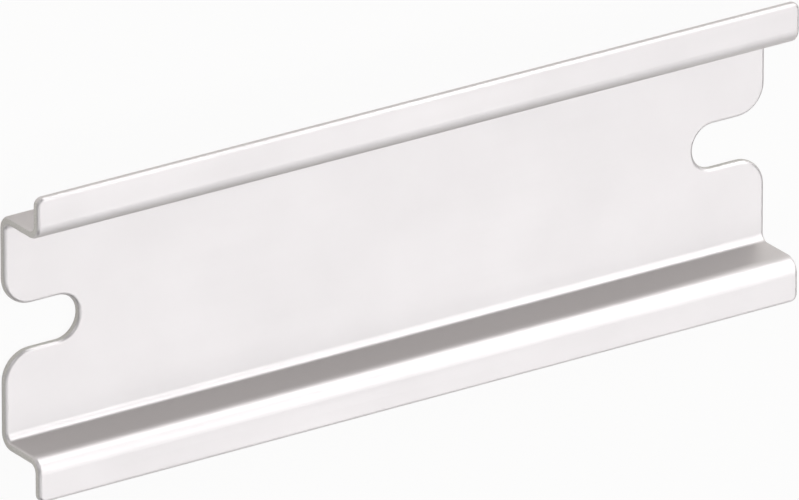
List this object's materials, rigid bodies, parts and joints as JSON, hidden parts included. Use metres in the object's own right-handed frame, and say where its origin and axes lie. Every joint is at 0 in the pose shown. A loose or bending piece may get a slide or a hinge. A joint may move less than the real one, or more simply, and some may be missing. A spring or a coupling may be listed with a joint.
{
  "type": "din rail",
  "caption": "Short length of top-hat mounting rail in zinc-plated steel, with an open screw slot in the web at each end.",
  "frame": {"origin": "centre of the web's back face, where the rail lies on a panel or a floor", "axes": "+X along the rail to the right, +Y across it to the upper flange, +Z from the web's back to the flange faces"},
  "size_m": [0.098, 0.035, 0.0075],
  "materials": {
    "zinc_plated_steel": "satin, cold-rolled strip with a bright zinc plating"
  },
  "bodies": {
    "root": {"din_rail": "zinc_plated_steel"}
  },
  "joints": []
}
